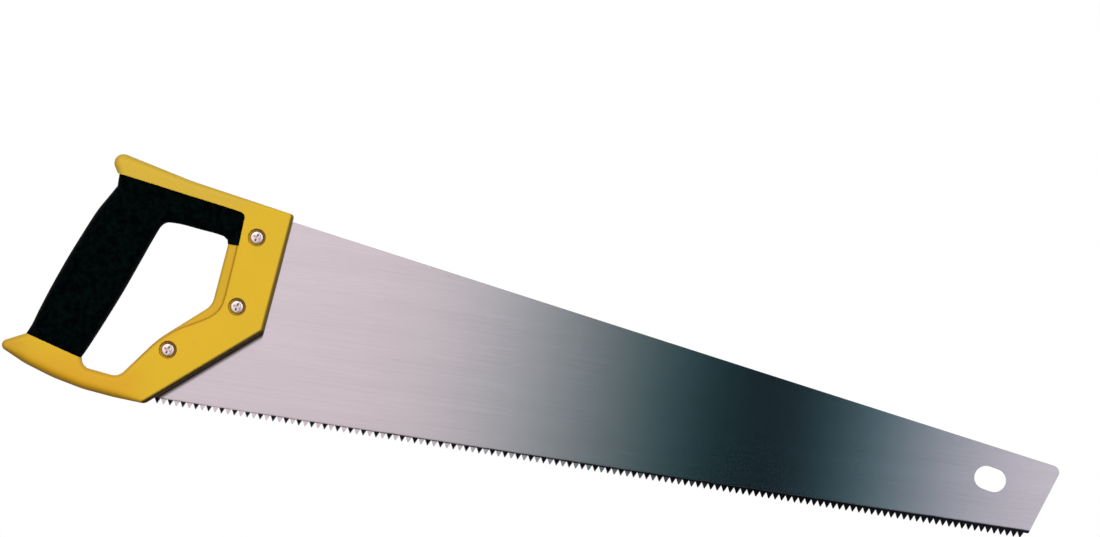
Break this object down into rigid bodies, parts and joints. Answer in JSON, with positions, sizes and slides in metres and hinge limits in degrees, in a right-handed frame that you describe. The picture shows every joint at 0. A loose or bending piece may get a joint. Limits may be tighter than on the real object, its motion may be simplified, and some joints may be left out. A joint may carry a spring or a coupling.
{
  "type": "hand saw",
  "caption": "Panel hand saw with a tapering toothed steel blade, a hang slot at the toe and a closed two-colour handle held by recessed screws and barrel nuts.",
  "frame": {"origin": "middle of the saw's length and thickness, level with its lowest point", "axes": "+X runs along the tooth line from the handle towards the toe, +Z points from the teeth to the back of the blade, +Y is the thickness, from the screw side to the nut side; the blade's mid-plane is Y = 0"},
  "size_m": [0.5924, 0.028, 0.1353],
  "materials": {
    "blade_steel": "fine lengthwise brushed sheet steel with dark induction-hardened tooth tips",
    "handle_plastic": "satin injection-moulded plastic, warm yellow",
    "grip_rubber": "satin black overmoulded soft rubber with a fine texture",
    "fastener_steel": "bright plated steel"
  },
  "bodies": {
    "root": {"blade": "blade_steel", "handle": "handle_plastic", "grip": "grip_rubber", "screw_top": "fastener_steel", "screw_middle": "fastener_steel", "screw_bottom": "fastener_steel", "barrel_nut_top": "fastener_steel", "barrel_nut_middle": "fastener_steel", "barrel_nut_bottom": "fastener_steel"}
  },
  "joints": []
}
